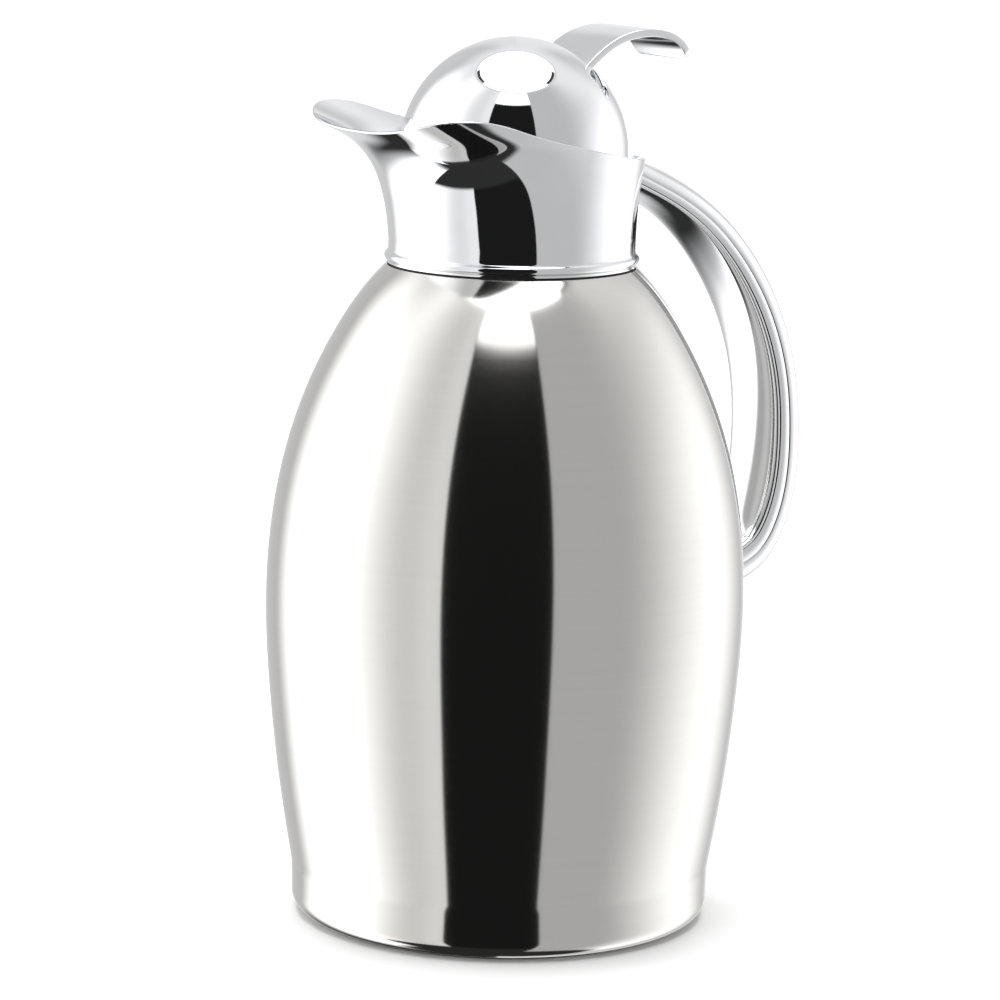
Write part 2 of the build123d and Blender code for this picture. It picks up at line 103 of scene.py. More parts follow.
# Height, reach to the spout, half width, reach to the handle, and how square the spout's half is,
# where 2 is an ellipse.
COLLAR_SECTIONS = [
    (199.0, 35.9, 35.9, 35.9, 2.0),
    (207.0, 37.0, 36.1, 36.0, 2.0),
    (214.0, 38.7, 36.6, 36.6, 2.04),
    (220.0, 41.0, 37.2, 37.5, 2.12),
    (225.0, 44.4, 38.0, 38.5, 2.25),
    (229.0, 49.0, 38.9, 39.4, 2.4),
    (232.0, 54.6, 39.8, 40.2, 2.52),
    (235.0, 60.6, 40.6, 41.0, 2.62),
    (239.0, 68.4, 41.8, 42.0, 2.7),
]
# Rows of (x, height) or (x, z), from the spout towards the handle.
RIM_LINE = [
    (-62.0, 227.0),
    (-55.5, 232.4),
    (-49.0, 236.3),
    (-41.0, 237.6),
    (-31.0, 236.5),
    (-20.0, 233.4),
    (-3.4, 229.3),
    (16.3, 225.5),
    (31.6, 223.3),
    (46.0, 222.6),
]
HANDLE_LINE = [
    (36.0, 218.6),
    (50.0, 212.2),
    (64.0, 203.2),
    (77.5, 189.3),
    (86.5, 175.0),
    (93.0, 157.0),
    (95.3, 135.5),
    (91.6, 111.5),
    (84.5, 101.0),
    (74.0, 96.2),
    (64.0, 93.0),
]
# Share of the handle's length from the collar, and thickness.
HANDLE_THICKNESS = [
    (0.0, 9.6),
    (0.12, 10.2),
    (0.3, 12.2),
    (0.5, 13.4),
    (0.7, 14.6),
    (0.85, 15.2),
    (0.94, 14.4),
    (1.0, 12.8),
]
LEVER_LINE = [
    (13.0, 247.3),
    (20.6, 253.9),
    (28.5, 258.2),
    (37.3, 259.7),
    (45.0, 258.8),
    (51.0, 255.3),
    (53.4, 251.4),
]


# ---------------------------------------------------------------- curves


class Table:
    """Natural cubic spline y(x), where y is a number or a point."""

    def __init__(self, xs, ys):
        self.xs, self.ys = np.array(xs, float), np.array(ys, float)
        n = len(self.xs)
        system, right = np.eye(n), np.zeros_like(self.ys)
        for i in range(1, n - 1):
            before, after = self.xs[i] - self.xs[i - 1], self.xs[i + 1] - self.xs[i]
            system[i, i - 1 : i + 2] = before, 2 * (before + after), after
            rise = (self.ys[i + 1] - self.ys[i]) / after - (self.ys[i] - self.ys[i - 1]) / before
            right[i] = 6 * rise
        self.bends = np.linalg.solve(system, right)

    def __call__(self, x):
        i = int(np.clip(np.searchsorted(self.xs, x) - 1, 0, len(self.xs) - 2))
        h = self.xs[i + 1] - self.xs[i]
        a, b = (self.xs[i + 1] - x) / h, (x - self.xs[i]) / h
        bend = ((a**3 - a) * self.bends[i] + (b**3 - b) * self.bends[i + 1]) * h * h / 6
        return a * self.ys[i] + b * self.ys[i + 1] + bend


class Spline:
    """Natural cubic spline through points, by chord length, as a function of 0 to 1."""

    def __init__(self, points):
        steps = np.linalg.norm(np.diff(points, axis=0), axis=1)
        places = np.concatenate([[0.0], np.cumsum(steps)])
        self.length = places[-1]
        self.table = Table(places, points)

    def __call__(self, u):
        return self.table(np.clip(u, 0.0, 1.0) * self.length)

    def along(self, u):
        """Unit tangent."""
        step = 1e-4
        d = self(min(u + step, 1.0)) - self(max(u - step, 0.0))
        return d / np.linalg.norm(d)

    def beside(self, u, distance):
        """Point at a distance to the curve's left."""
        d = self.along(u)
        return self(u) + distance * np.array([-d[1], d[0]])


def arc(centre, radius, start, stop, count):
    """Points of a circular arc in (radius, height), angles in degrees."""
    angles = np.radians(np.linspace(start, stop, count))
    return [(centre[0] + radius * math.cos(a), centre[1] + radius * math.sin(a)) for a in angles]


def smooth_step(x, low, high):
    """0 below low, 1 above high, smooth between."""
    t = np.clip((x - low) / (high - low), 0.0, 1.0)
    return t * t * (3 - 2 * t)


# ---------------------------------------------------------------- meshes


def make_piece(name, bm, body, nodes, material, crease=32.0):
    """Turns a millimetre bmesh into a smooth-shaded piece that rides on a body."""
    bmesh.ops.remove_doubles(bm, verts=bm.verts, dist=1e-4)
    bmesh.ops.dissolve_degenerate(bm, edges=bm.edges, dist=1e-5)
    bmesh.ops.recalc_face_normals(bm, faces=bm.faces)
    bmesh.ops.scale(bm, verts=bm.verts, vec=(MM, MM, MM))
    mesh = bpy.data.meshes.new(name)
    bm.to_mesh(mesh)
    bm.free()
    mesh.shade_smooth()
    mesh.set_sharp_from_angle(angle=math.radians(crease))
    mesh.materials.append(material)
    piece = bpy.data.objects.new(name, mesh)
    bpy.context.scene.collection.objects.link(piece)
    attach(piece, body)
    if nodes:
        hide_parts(*nodes)
    return piece


def skin(bm, rings, closed=False, caps=False):
    """Quads between rings of points, each a loop; closed joins the last ring to the first."""
    rows = [[bm.verts.new(p) for p in ring] for ring in rings]
    following = rows[1:] + rows[:1] if closed else rows[1:]
    for low, high in zip(rows, following):
        count = len(low)
        for i in range(count):
            j = (i + 1) % count
            bm.faces.new((low[i], low[j], high[j], high[i]))
    if caps:
        bm.faces.new(rows[0])
        bm.faces.new(rows[-1])
    return rows


def lathe(bm, outline, turns=TURNS, centre=(0.0, 0.0)):
    """Surface of revolution about a vertical axis from a closed (radius, height) outline."""
    rings = []
    for i in range(turns):
        a = 2 * math.pi * i / turns
        rings.append([(centre[0] + r * math.cos(a), centre[1] + r * math.sin(a), z) for r, z in outline])
    skin(bm, rings, closed=True)


def rounded_outline(half_width, low, high, corner_low, corner_high, count=9):
    """Closed rectangle outline in (across, through), with a corner radius at each side."""
    points = arc((half_width - corner_low, low + corner_low), corner_low, -90, 0, count)
    points += arc((half_width - corner_high, high - corner_high), corner_high, 0, 90, count)
    points += arc((-half_width + corner_high, high - corner_high), corner_high, 90, 180, count)
    points += arc((-half_width + corner_low, low + corner_low), corner_low, 180, 270, count)
    return points


# ---------------------------------------------------------------- node materials


class Shader:
    """A metal or plastic material with its noise-driven detail."""

    def __init__(self, name):
        self.material = bpy.data.materials.new(name)
        self.material.use_nodes = True
        self.tree = self.material.node_tree
        self.surface = self.tree.nodes["Principled BSDF"]
        self.place = self.add("ShaderNodeTexCoord").outputs["Object"]

    def add(self, kind, **settings):
        node = self.tree.nodes.new(kind)
        for key, value in settings.items():
            setattr(node, key, value)
        return node

    def link(self, output, socket):
        self.tree.links.new(output, socket)

    def noise(self, scale, detail=3.0, rough=0.55, stretch=(1.0, 1.0, 1.0)):
        """Noise with features 1/scale metres across, stretched per axis."""
        spread = self.add("ShaderNodeMapping")
        spread.inputs["Scale"].default_value = stretch
        self.link(self.place, spread.inputs["Vector"])
        node = self.add("ShaderNodeTexNoise")
        node.inputs["Scale"].default_value = scale
        node.inputs["Detail"].default_value = detail
        node.inputs["Roughness"].default_value = rough
        self.link(spread.outputs["Vector"], node.inputs["Vector"])
        return node.outputs["Fac"]

    def ranged(self, value, low, high, source=(0.3, 0.7)):
        """A value's source range stretched to run from low to high."""
        node = self.add("ShaderNodeMapRange")
        node.inputs["From Min"].default_value = source[0]
        node.inputs["From Max"].default_value = source[1]
        node.inputs["To Min"].default_value = low
        node.inputs["To Max"].default_value = high
        self.link(value, node.inputs["Value"])
        return node.outputs["Result"]

    def mix(self, factor, one, two):
        """Colour one where the factor is 0, colour two where it is 1."""
        node = self.add("ShaderNodeMix", data_type="RGBA")
        self.link(factor, node.inputs["Factor"])
        for socket, value in (("A", one), ("B", two)):
            target = [s for s in node.inputs if s.name == socket and s.type == "RGBA"][0]
            if isinstance(value, tuple):
                target.default_value = (*value, 1.0)
            else:
                self.link(value, target)
        return [s for s in node.outputs if s.type == "RGBA"][0]

    def sum(self, one, two, weight=1.0):
        """One value plus a share of another."""
        node = self.add("ShaderNodeMath", operation="MULTIPLY_ADD")
        self.link(two, node.inputs[0])
        node.inputs[1].default_value = weight
        self.link(one, node.inputs[2])
        return node.outputs["Value"]

    def set(self, **values):
        """Sets or links sockets of the surface shader by name."""
        for key, value in values.items():
            socket = self.surface.inputs[key.replace("_", " ")]
            if isinstance(value, bpy.types.NodeSocket):
                self.link(value, socket)
            elif isinstance(value, tuple):
                socket.default_value = (*value, 1.0)
            else:
                socket.default_value = value
        return self

    def bump(self, height, strength, depth):
        """Bump from a height field whose full range is depth metres."""
        node = self.add("ShaderNodeBump")
        node.inputs["Strength"].default_value = strength
        node.inputs["Distance"].default_value = depth
        self.link(height, node.inputs["Height"])
        self.link(node.outputs["Normal"], self.surface.inputs["Normal"])
        return self


def brushed_steel(name, light, dark, rough, anisotropic):
    """Steel brushed round the pot: level hairlines, with the shine stretched across them."""
    s = Shader(name)
    hair = s.noise(1.0, 4.0, 0.6, (18.0, 18.0, 2600.0))
    band = s.noise(1.0, 2.0, 0.5, (6.0, 6.0, 420.0))
    cloud = s.noise(26.0, 2.0, 0.5)
    lines = s.sum(hair, band, 0.6)
    s.set(Base_Color=s.mix(s.ranged(lines, 0.0, 1.0, (0.45, 1.15)), light, dark), Metallic=1.0)
    worn = s.sum(s.ranged(hair, rough * 0.92, rough * 1.08), cloud, 0.02)
    s.set(Roughness=worn, Anisotropic=anisotropic, Anisotropic_Rotation=0.25)
    tangent = s.add("ShaderNodeTangent", direction_type="RADIAL", axis="Z")
    s.link(tangent.outputs["Tangent"], s.surface.inputs["Tangent"])
    return s.bump(lines, 0.03, 0.00001).material


def mirror_chrome(name, light, dark):
    """Mirror-polished chrome with polishing haze, faint wipe marks and a barely uneven face."""
    s = Shader(name)
    haze = s.noise(38.0, 3.0, 0.6)
    wipe = s.noise(9.0, 4.0, 0.65, (1.0, 1.0, 6.0))
    pores = s.noise(2200.0, 2.0, 0.5)
    s.set(Base_Color=s.mix(s.ranged(haze, 0.0, 1.0), light, dark), Metallic=1.0)
    s.set(Roughness=s.sum(s.ranged(wipe, 0.012, 0.045), pores, 0.015))
    swell = s.sum(s.noise(24.0, 1.0, 0.4), pores, 0.003)
    return s.bump(swell, 0.12, 0.00025).material


def bright_steel(name, light, dark, rough):
    """Plain drawn or mill-finished steel."""
    s = Shader(name)
    grain = s.noise(900.0, 4.0, 0.6, (1.0, 1.0, 3.0))
    cloud = s.noise(60.0, 3.0, 0.6)
    s.set(Base_Color=s.mix(s.ranged(cloud, 0.0, 1.0), light, dark), Metallic=1.0)
    s.set(Roughness=s.sum(s.ranged(grain, rough * 0.75, rough * 1.2), cloud, 0.06))
    return s.bump(grain, 0.25, 0.00003).material


def moulded(name, light, dark, rough, grain_size=0.0004, specular=0.45):
    """Moulded plastic or rubber with a fine skin texture and slightly rubbed patches."""
    s = Shader(name)
    grain = s.noise(1.0 / grain_size, 3.0, 0.6)
    rubbed = s.noise(45.0, 3.0, 0.6)
    s.set(Base_Color=s.mix(s.ranged(rubbed, 0.0, 1.0), light, dark))
    s.set(Roughness=s.sum(s.ranged(grain, rough - 0.06, rough + 0.06), rubbed, -0.08))
    s.surface.inputs["Specular IOR Level"].default_value = specular
    return s.bump(grain, 0.35, 0.00005).material


def silicone(name, light, dark):
    """Milky silicone that lets a little light in."""
    s = Shader(name)
    cloud = s.noise(120.0, 2.0, 0.5)
    s.set(Base_Color=s.mix(s.ranged(cloud, 0.0, 1.0), light, dark))
    s.set(Roughness=s.ranged(cloud, 0.32, 0.45))
    s.surface.inputs["Subsurface Weight"].default_value = 0.4
    s.surface.inputs["Subsurface Radius"].default_value = (0.003, 0.003, 0.003)
    s.surface.inputs["Subsurface Scale"].default_value = 1.0
    return s.bump(cloud, 0.2, 0.00004).material


BODY_STEEL = brushed_steel("brushed_steel", (0.675, 0.665, 0.645), (0.655, 0.645, 0.625), 0.09, 0.8)
CHROME = mirror_chrome("polished_chrome", (0.86, 0.87, 0.89), (0.81, 0.82, 0.845))
MILL_STEEL = bright_steel("mill_steel", (0.62, 0.62, 0.62), (0.52, 0.52, 0.53), 0.32)
SCREW_STEEL = bright_steel("screw_steel", (0.68, 0.68, 0.68), (0.55, 0.55, 0.56), 0.22)
BLACK_PLASTIC = moulded("black_plastic", (0.042, 0.042, 0.045), (0.024, 0.024, 0.027), 0.42)
BLACK_RUBBER = moulded("black_rubber", (0.028, 0.028, 0.028), (0.018, 0.018, 0.018), 0.68, 0.0003, 0.3)
SILICONE = silicone("clear_silicone", (0.74, 0.74, 0.72), (0.64, 0.64, 0.62))
FOAM = moulded("insulating_foam", (0.84, 0.76, 0.52), (0.72, 0.62, 0.38), 0.85, 0.0009, 0.2)

SLOT_MATERIALS = {
    "brushed_body": BODY_STEEL,
    "steel_inside": MILL_STEEL,
    "polished_chrome": CHROME,
    "black_rubber": BLACK_RUBBER,
    "clear_silicone": SILICONE,
    "black_plastic": BLACK_PLASTIC,
    "foam": FOAM,
    "screw_steel": SCREW_STEEL,
}


def dress_cad_nodes():
    """Gives every CAD node the material of its record slot."""
    for part in frame["record"]["subparts"]:
        mesh = frame["nodes"][part["node"]].data
        material = SLOT_MATERIALS[part["material_slot"]]
        if not mesh.materials:
            mesh.materials.append(material)
        for i in range(len(mesh.materials)):
            mesh.materials[i] = material


# ---------------------------------------------------------------- pot

body_curve = Spline(BODY_LINE)


def body_radius(z):
    """Radius of the body's outside at a height."""
    low, high = 0.0, 1.0
    for _ in range(30):
        middle = (low + high) / 2
        if body_curve(middle)[1] < z:
            low = middle
        else:
            high = middle
    return body_curve(low)[0]


def build_body():
    """One skin: foot corner, plain band, bellied wall, shoulder and neck, and the wall's inside."""
    centre = (BAND_R - CORNER, BAND_FOOT_Z + CORNER)
    flat_r, ease, gusset = 30.0, 0.3, 0.6
    outline = [(0.0, BAND_FOOT_Z), (flat_r, BAND_FOOT_Z)] + arc(centre, CORNER, -90, 0, 18)
    foot_r, foot_z = BODY_LINE[0]
    for t in np.linspace(0.1, 0.9, 9):
        outline.append((BAND_R + (foot_r - BAND_R) * t * t, centre[1] + (foot_z - centre[1]) * t))
    outline += [tuple(body_curve(u)) for u in np.linspace(0, 1, 170)]
    neck_foot = BODY_LINE[-1][1] + 0.15
    outline += [(NECK_R + ease, neck_foot), (NECK_R, neck_foot + ease), (NECK_R, NECK_TOP_Z - SHEET)]
    outline += [(NECK_R - SHEET, NECK_TOP_Z - SHEET), (NECK_R - SHEET, neck_foot - gusset)]
    outline += [tuple(body_curve.beside(u, SHEET)) for u in np.linspace(1, 0, 60)]
    outline += arc(centre, CORNER - SHEET + HAIR, 0, -90, 10)
    outline += [(0.0, BAND_FOOT_Z + SHEET - HAIR)]
    bm = bmesh.new()
    lathe(bm, outline)
    make_piece("pot_body", bm, "pot", ["outer_shell", "base_cup"], BODY_STEEL)


def build_pad():
    """Rubber foot with a bevelled edge and shallow rings under it."""
    groove, slope, land = 0.25, 0.2, 8.0
    outline = [(0.0, groove)]
    for r in (18.0, 30.0, 42.0):
        outline += [(r, groove), (r + slope, 0.0), (r + land - slope, 0.0), (r + land, groove)]
    edge = PAD_R - land / 2
    outline += [(edge, groove), (edge + slope, 0.0), (PAD_R - 0.3, 0.0), (PAD_R, groove)]
    outline += [(PAD_R, BAND_FOOT_Z), (0.0, BAND_FOOT_Z)]
    bm = bmesh.new()
    lathe(bm, outline, 192)
    make_piece("foot_pad", bm, "pot", ["base_pad"], BLACK_RUBBER)


# ---------------------------------------------------------------- collar with the spout

section_heights, *section_columns = zip(*COLLAR_SECTIONS)
section_tables = [Table(section_heights, column) for column in section_columns]
rim_height = Table(*zip(*RIM_LINE))


def section_at(z):
    """Reach, half width, back and squareness of the collar's outside at a height."""
    return [table(z) for table in section_tables]


def collar_point(t, z):
    """Point of the collar's outside in direction t, 0 at the spout, and height z."""
    reach, half, back, power = section_at(z)
    c, s = math.cos(t), math.sin(t)
    if c > 0:
        radius = ((c / reach) ** power + (abs(s) / half) ** power) ** (-1 / power)
    else:
        radius = 1 / math.hypot(c / back, s / half)
    return np.array([-radius * c, -radius * s, z])


def rim_at(t):
    """Height of the rim in direction t."""
    low, high = RIM_RANGE_Z
    for _ in range(32):
        middle = (low + high) / 2
        if middle < rim_height(collar_point(t, middle)[0]):
            low = middle
        else:
            high = middle
    return low


def build_collar():
    """Flared wall from the neck to the rim, with its rolled lip, inner face, bead, skirt and ledge."""
    foot_z = COLLAR_SECTIONS[0][0]
    rows, lip, crowding = 72, 9, 1.4
    columns = TURNS
    rims = [rim_at(2 * math.pi * i / columns) for i in range(columns)]

    def surface(i, v):
        t = 2 * math.pi * i / columns
        return collar_point(t, foot_z + v * (rims[i] - foot_z))

    def frame_at(i, v):
        """Place, outward normal and upward direction on the outside."""
        step = 1e-3
        up = surface(i, min(v + step, 1.0)) - surface(i, max(v - step, 0.0))
        round_ = surface((i + 1) % columns, v) - surface((i - 1) % columns, v)
        normal = np.cross(up, round_)
        normal /= np.linalg.norm(normal)
        place = surface(i, v)
        if np.dot(normal[:2], place[:2]) < 0:
            normal = -normal
        return place, normal, up / np.linalg.norm(up)

    half = LIP_T / 2
    loops = [[] for _ in range(2 * rows + lip)]
    for i in range(columns):
        for k in range(rows):
            v = 1 - (1 - k / (rows - 1)) ** crowding
            place, normal, up = frame_at(i, v)
            if k == rows - 1:
                place = place - up * half
            loops[k].append(tuple(place))
            thick = COLLAR_WALL + (LIP_T - COLLAR_WALL) * float(smooth_step(v, 0.55, 1.0))
            loops[2 * rows + lip - 1 - k].append(tuple(place - normal * thick))
        place, normal, up = frame_at(i, 1.0)
        core = place - up * half - normal * half
        for k in range(lip):
            a = math.pi * (k + 1) / (lip + 1)
            loops[rows + k].append(tuple(core + half * (normal * math.cos(a) + up * math.sin(a))))
    inner_r = COLLAR_R - COLLAR_WALL

    def circle(r, z):
        angles = [2 * math.pi * i / columns for i in range(columns)]
        return [(-r * math.cos(a), -r * math.sin(a), z) for a in angles]

    ease, above_ledge = 0.3, 0.4
    foot = [(inner_r, LEDGE_Z[1]), (LEDGE_R + ease, LEDGE_Z[1]), (LEDGE_R, LEDGE_Z[1] - ease)]
    foot += [(LEDGE_R, LEDGE_Z[0] + ease), (LEDGE_R + ease, LEDGE_Z[0]), (inner_r, LEDGE_Z[0])]
    foot += [(inner_r, COLLAR_FOOT_Z)] + bead_outline()
    while loops[-1][0][2] < LEDGE_Z[1] + above_ledge:
        loops.pop()
    rings = loops + [circle(r, z) for r, z in foot]
    bm = bmesh.new()
    skin(bm, rings, closed=True)
    make_piece("collar", bm, "pot", ["collar_spout"], CHROME, 40.0)


def bead_outline():
    """Skirt under the collar's wall, from its foot up over the bead to the wall."""
    points = [(35.9, COLLAR_FOOT_Z), (36.25, COLLAR_FOOT_Z + 0.3), (36.3, COLLAR_FOOT_Z + 0.75)]
    points += arc((BEAD_R - 1.45, 194.4), 1.45, -52, 52, 16)
    points += [(36.1, 195.9), (35.95, 196.3), (35.92, 196.8), (COLLAR_R, 197.4), (COLLAR_R, 198.1)]
    return points


# ---------------------------------------------------------------- handle

handle_curve = Spline(HANDLE_LINE)
handle_thickness = Table(*zip(*HANDLE_THICKNESS))


def collar_fill(p):
    """Under 1 inside the collar's outside, over 1 outside it."""
    _, half, back, _ = section_at(min(p[2], RIM_RANGE_Z[1] - 1.0))
    return math.hypot(p[0] / back, p[1] / half)


def body_fill(p):
    """Under 1 inside the body's outside, over 1 outside it."""
    return math.hypot(p[0], p[1]) / body_radius(p[2])


def seat(point, direction, fill, target, reach=16.0):
    """Moves a point along a direction to where the fill function has its target value."""
    low, high = -reach, reach
    if fill(point + direction * low) > fill(point + direction * high):
        low, high = high, low
    for _ in range(30):
        middle = (low + high) / 2
        if fill(point + direction * middle) < target:
            low = middle
        else:
            high = middle
    return point + direction * low


def handle_ring(u, outline):
    """Points of a section outline, square to the handle's line."""
    place, along = handle_curve(u), handle_curve.along(u)
    out = np.array([-along[1], along[0]])
    ring = []
    for across, through in outline:
        x, z = place + through * out
        ring.append(np.array([x, across, z]))
    return ring


def build_handle_shell(name, node, outline_at):
    """One of the two shells: a loft along the handle, let into the collar and up to the body."""
    first, last, count = 0.06, 0.955, 150
    into_collar, into_body, ceiling_z = 0.985, 0.994, 222.0
    rings = []
    for u in np.linspace(first, last, count):
        rings.append(handle_ring(u, outline_at(u)))
    towards_collar = -np.array([handle_curve.along(first)[0], 0, handle_curve.along(first)[1]])
    towards_body = np.array([handle_curve.along(last)[0], 0, handle_curve.along(last)[1]])
    start = [seat(p, towards_collar, collar_fill, into_collar) for p in rings[0]]
    for p in start:
        p[2] = min(p[2], ceiling_z)
    stop = [seat(p, towards_body, body_fill, into_body) for p in rings[-1]]
    lead = [[s + (p - s) * f for s, p in zip(start, rings[0])] for f in (0.0, 0.35, 0.7)]
    tail = [[p + (s - p) * f for s, p in zip(stop, rings[-1])] for f in (0.35, 0.7, 1.0)]
    bm = bmesh.new()
    skin(bm, [[tuple(p) for p in ring] for ring in lead + rings + tail], caps=True)
    make_piece(name, bm, "pot", [node], CHROME, 50.0)


def crown(half, side, middle, corner, count):
    """Points across a shallow crown, from one side to the other, with softened corners."""
    points = []
    for a in np.linspace(-90, 90, count):
        across = math.sin(math.radians(a))
        rise = (1 - abs(across) ** corner) ** (1 / corner)
        points.append((half * across, side + (middle - side) * rise))
    return points


def build_handle():
    """Outer shell with a fine groove along its sides, and inner shell, which meet at the seam."""
    half = HANDLE_W / 2
    line, depth, width = -0.9, 0.25, 0.3
    hair, ease, count = 0.1, 0.3, 45

    def mirrored(points):
        return [(-across, through) for across, through in points[::-1]]

    def outer(u):
        seam = -SEAM_SHARE * handle_thickness(u)
        side = [(half - 0.7, seam), (half - 0.25, seam), (half, seam + ease)]
        side += [(half, line - width), (half - depth, line), (half, line + width)]
        top = crown(half, line + 2 * width, handle_thickness(u) / 2, 2.1, count)
        return side + top[::-1] + mirrored(side)

    def inner(u):
        seam = -SEAM_SHARE * handle_thickness(u) - hair
        side = [(half, seam - ease), (half - 0.35, seam), (half - 0.9, seam)]
        top = crown(half, seam - 1.5 * ease, -handle_thickness(u) / 2, 2.3, count)
        return side + mirrored(side) + top

    build_handle_shell("handle_back", "handle_outer_shell", outer)
    build_handle_shell("handle_front", "handle_inner_shell", inner)


# ---------------------------------------------------------------- lid


def build_dome():
    """Ball-shaped cover on a short skirt, with the lever's slot cut out of its back."""
    centre = (0.0, DOME_Z)
    inner_r = DOME_R - DOME_WALL
    outline = [(DOME_R - 0.3, DOME_FOOT_Z), (DOME_R, DOME_FOOT_Z + 0.3)]
    outline += arc(centre, DOME_R, 0, 90, 64)
    outline += arc(centre, inner_r, 90, 0, 40)
    outline += [(inner_r, DOME_FOOT_Z + 0.2), (inner_r + 0.2, DOME_FOOT_Z)]
    bm = bmesh.new()
    lathe(bm, outline)
    dome = make_piece("lid_dome", bm, "stopper", ["dome_cover"], CHROME)
    side_room, corner = 0.4, 0.5
    half = LEVER_W / 2 + side_room
    front, back, top = 8.0, 40.0, 262.0
    cutter = bmesh.new()
    outline = [(front, SLOT_FOOT_Z), (back, SLOT_FOOT_Z), (back, top), (28.3, top), (front, 246.3)]
    rings = [[(x * MM, y * MM, z * MM) for x, z in outline] for y in (-half, half)]
    skin(cutter, rings, caps=True)
    bmesh.ops.recalc_face_normals(cutter, faces=cutter.faces)
    upright = [e for e in cutter.edges if abs(e.verts[0].co.y - e.verts[1].co.y) > MM]
    bmesh.ops.bevel(cutter, geom=upright, offset=corner * MM, segments=4, affect="EDGES")
    tool_mesh = bpy.data.meshes.new("slot_tool")
    cutter.to_mesh(tool_mesh)
    cutter.free()
    tool = bpy.data.objects.new("slot_tool", tool_mesh)
    bpy.context.scene.collection.objects.link(tool)
    cut = dome.modifiers.new("slot", "BOOLEAN")
    cut.operation, cut.object, cut.solver = "DIFFERENCE", tool, "EXACT"
    bpy.context.view_layer.update()
    shown = dome.evaluated_get(bpy.context.evaluated_depsgraph_get())
    mesh = bpy.data.meshes.new_from_object(shown)
    dome.modifiers.clear()
    dome.data = mesh
    mesh.set_sharp_from_angle(angle=math.radians(32))
    line_inside(mesh, inner_r + 0.2)
    bpy.data.objects.remove(tool)


def line_inside(mesh, radius):
    """Black plastic on the dome's faces that lie within a radius, which are its cavity's."""
    mesh.materials.append(BLACK_PLASTIC)
    for face in mesh.polygons:
        x, y, z = face.center / MM
        from_middle = math.hypot(x, y) if z < DOME_Z else math.dist((x, y, z), (0.0, 0.0, DOME_Z))
        if from_middle < radius:
            face.material_index = len(mesh.materials) - 1


def build_lever():
    """Thumb plate with a rounded tip, and under it the arm that reaches the pivot and the button."""
    curve = Spline(LEVER_LINE)
    half, corner, edge = LEVER_W / 2, 3.0, LEVER_T / 2
    soft, round_most = 0.35, 0.3
    tip = 1 - (1 - np.linspace(0, 1, 110)) ** 2.6
    rings = []
    for u in tip:
        from_tip = (1 - u) * curve.length
        near = min(from_tip, soft)
        thin = edge - soft + math.sqrt(max(soft**2 - (soft - near) ** 2, 0.0))
        near = min(from_tip, corner)
        inset = corner - math.sqrt(max(corner**2 - (corner - near) ** 2, 0.0))
        middle = curve.beside(u, -edge)
        along = curve.along(u)
        out = np.array([-along[1], along[0]])
        ring = []
        round_edge = min(round_most, 0.95 * thin)
        for across, through in rounded_outline(half - inset, -thin, thin, round_edge, round_edge, 7):
            x, z = middle + through * out
            ring.append((x, across, z))
        rings.append(ring)
    bm = bmesh.new()
    skin(bm, rings, caps=True)
    elbow, root = (0.0, PIVOT[1] - 3.5), (13.4, 247.4)
    for start, stop, radius in (
        (PIVOT, elbow, 3.2),
        ((0.0, BUTTON_TOP_Z + 0.1 + NOSE_R), (0.0, BUTTON_TOP_Z + 0.2 + NOSE_R), NOSE_R),
        (elbow, root, 2.4),
    ):
        add_bar(bm, start, stop, radius, ARM_HALF)
    make_piece("thumb_lever", bm, "lever", ["lever"], CHROME, 40.0)


def add_bar(bm, start, stop, radius, half, round_edge=0.5):
    """Bar with round ends between two (x, z) points, its side edges rounded."""
    angle = math.degrees(math.atan2(stop[1] - start[1], stop[0] - start[0]))
    rings = []
    for a in np.linspace(-90, 90, 7):
        inset = round_edge * (1 - math.cos(math.radians(a)))
        y = math.copysign(half - round_edge + round_edge * abs(math.sin(math.radians(a))), a) if a else 0.0
        r = radius - (round_edge - round_edge * math.cos(math.radians(a)))
        outline = arc(stop, r, angle - 90, angle + 90, 14) + arc(start, r, angle + 90, angle + 270, 14)
        rings.append([(x, y, z) for x, z in outline])
    skin(bm, rings, caps=True)


# ---------------------------------------------------------------- stopper

TUBE_R, TUBE_BORE, TUBE_FOOT_Z = 25.6, 23.4, 160.0
FLANGE_R, FLANGE_Z = 31.3, (203.4, 205.4)
DECK_FOOT_Z = 210.6
POST_R, POST_PLACE_R, POST_SUNK = 2.6, 26.4, 0.6
THREAD_R, THREAD_Z, THREAD_PITCH = 26.7, (172.0, 192.0), 6.0


def build_stopper():
    """Stopper tube with its flange, four posts and a raised screw thread."""
    outline = [(TUBE_BORE, TUBE_FOOT_Z), (TUBE_R - 0.4, TUBE_FOOT_Z), (TUBE_R, TUBE_FOOT_Z + 0.4)]
    outline += arc((TUBE_R + 1.2, FLANGE_Z[0] - 1.2), 1.2, 180, 90, 6)
    outline += arc((FLANGE_R - 0.5, FLANGE_Z[0] + 0.5), 0.5, -90, 0, 5)
    outline += arc((FLANGE_R - 0.5, FLANGE_Z[1] - 0.5), 0.5, 0, 90, 5)
    outline += [(TUBE_BORE + 0.4, FLANGE_Z[1]), (TUBE_BORE, FLANGE_Z[1] - 0.4)]
    bm = bmesh.new()
    lathe(bm, outline, 192)
    post_foot = FLANGE_Z[0] + POST_SUNK
    post = [(0.0, post_foot), (POST_R, post_foot), (POST_R, DECK_FOOT_Z), (0.0, DECK_FOOT_Z)]
    for degrees in (30, 150, 210, 330):
        a = math.radians(degrees)
        lathe(bm, post, 32, (POST_PLACE_R * math.cos(a), POST_PLACE_R * math.sin(a)))
    add_thread(bm)
    make_piece("stopper_tube", bm, "stopper", ["stopper_body"], BLACK_PLASTIC)


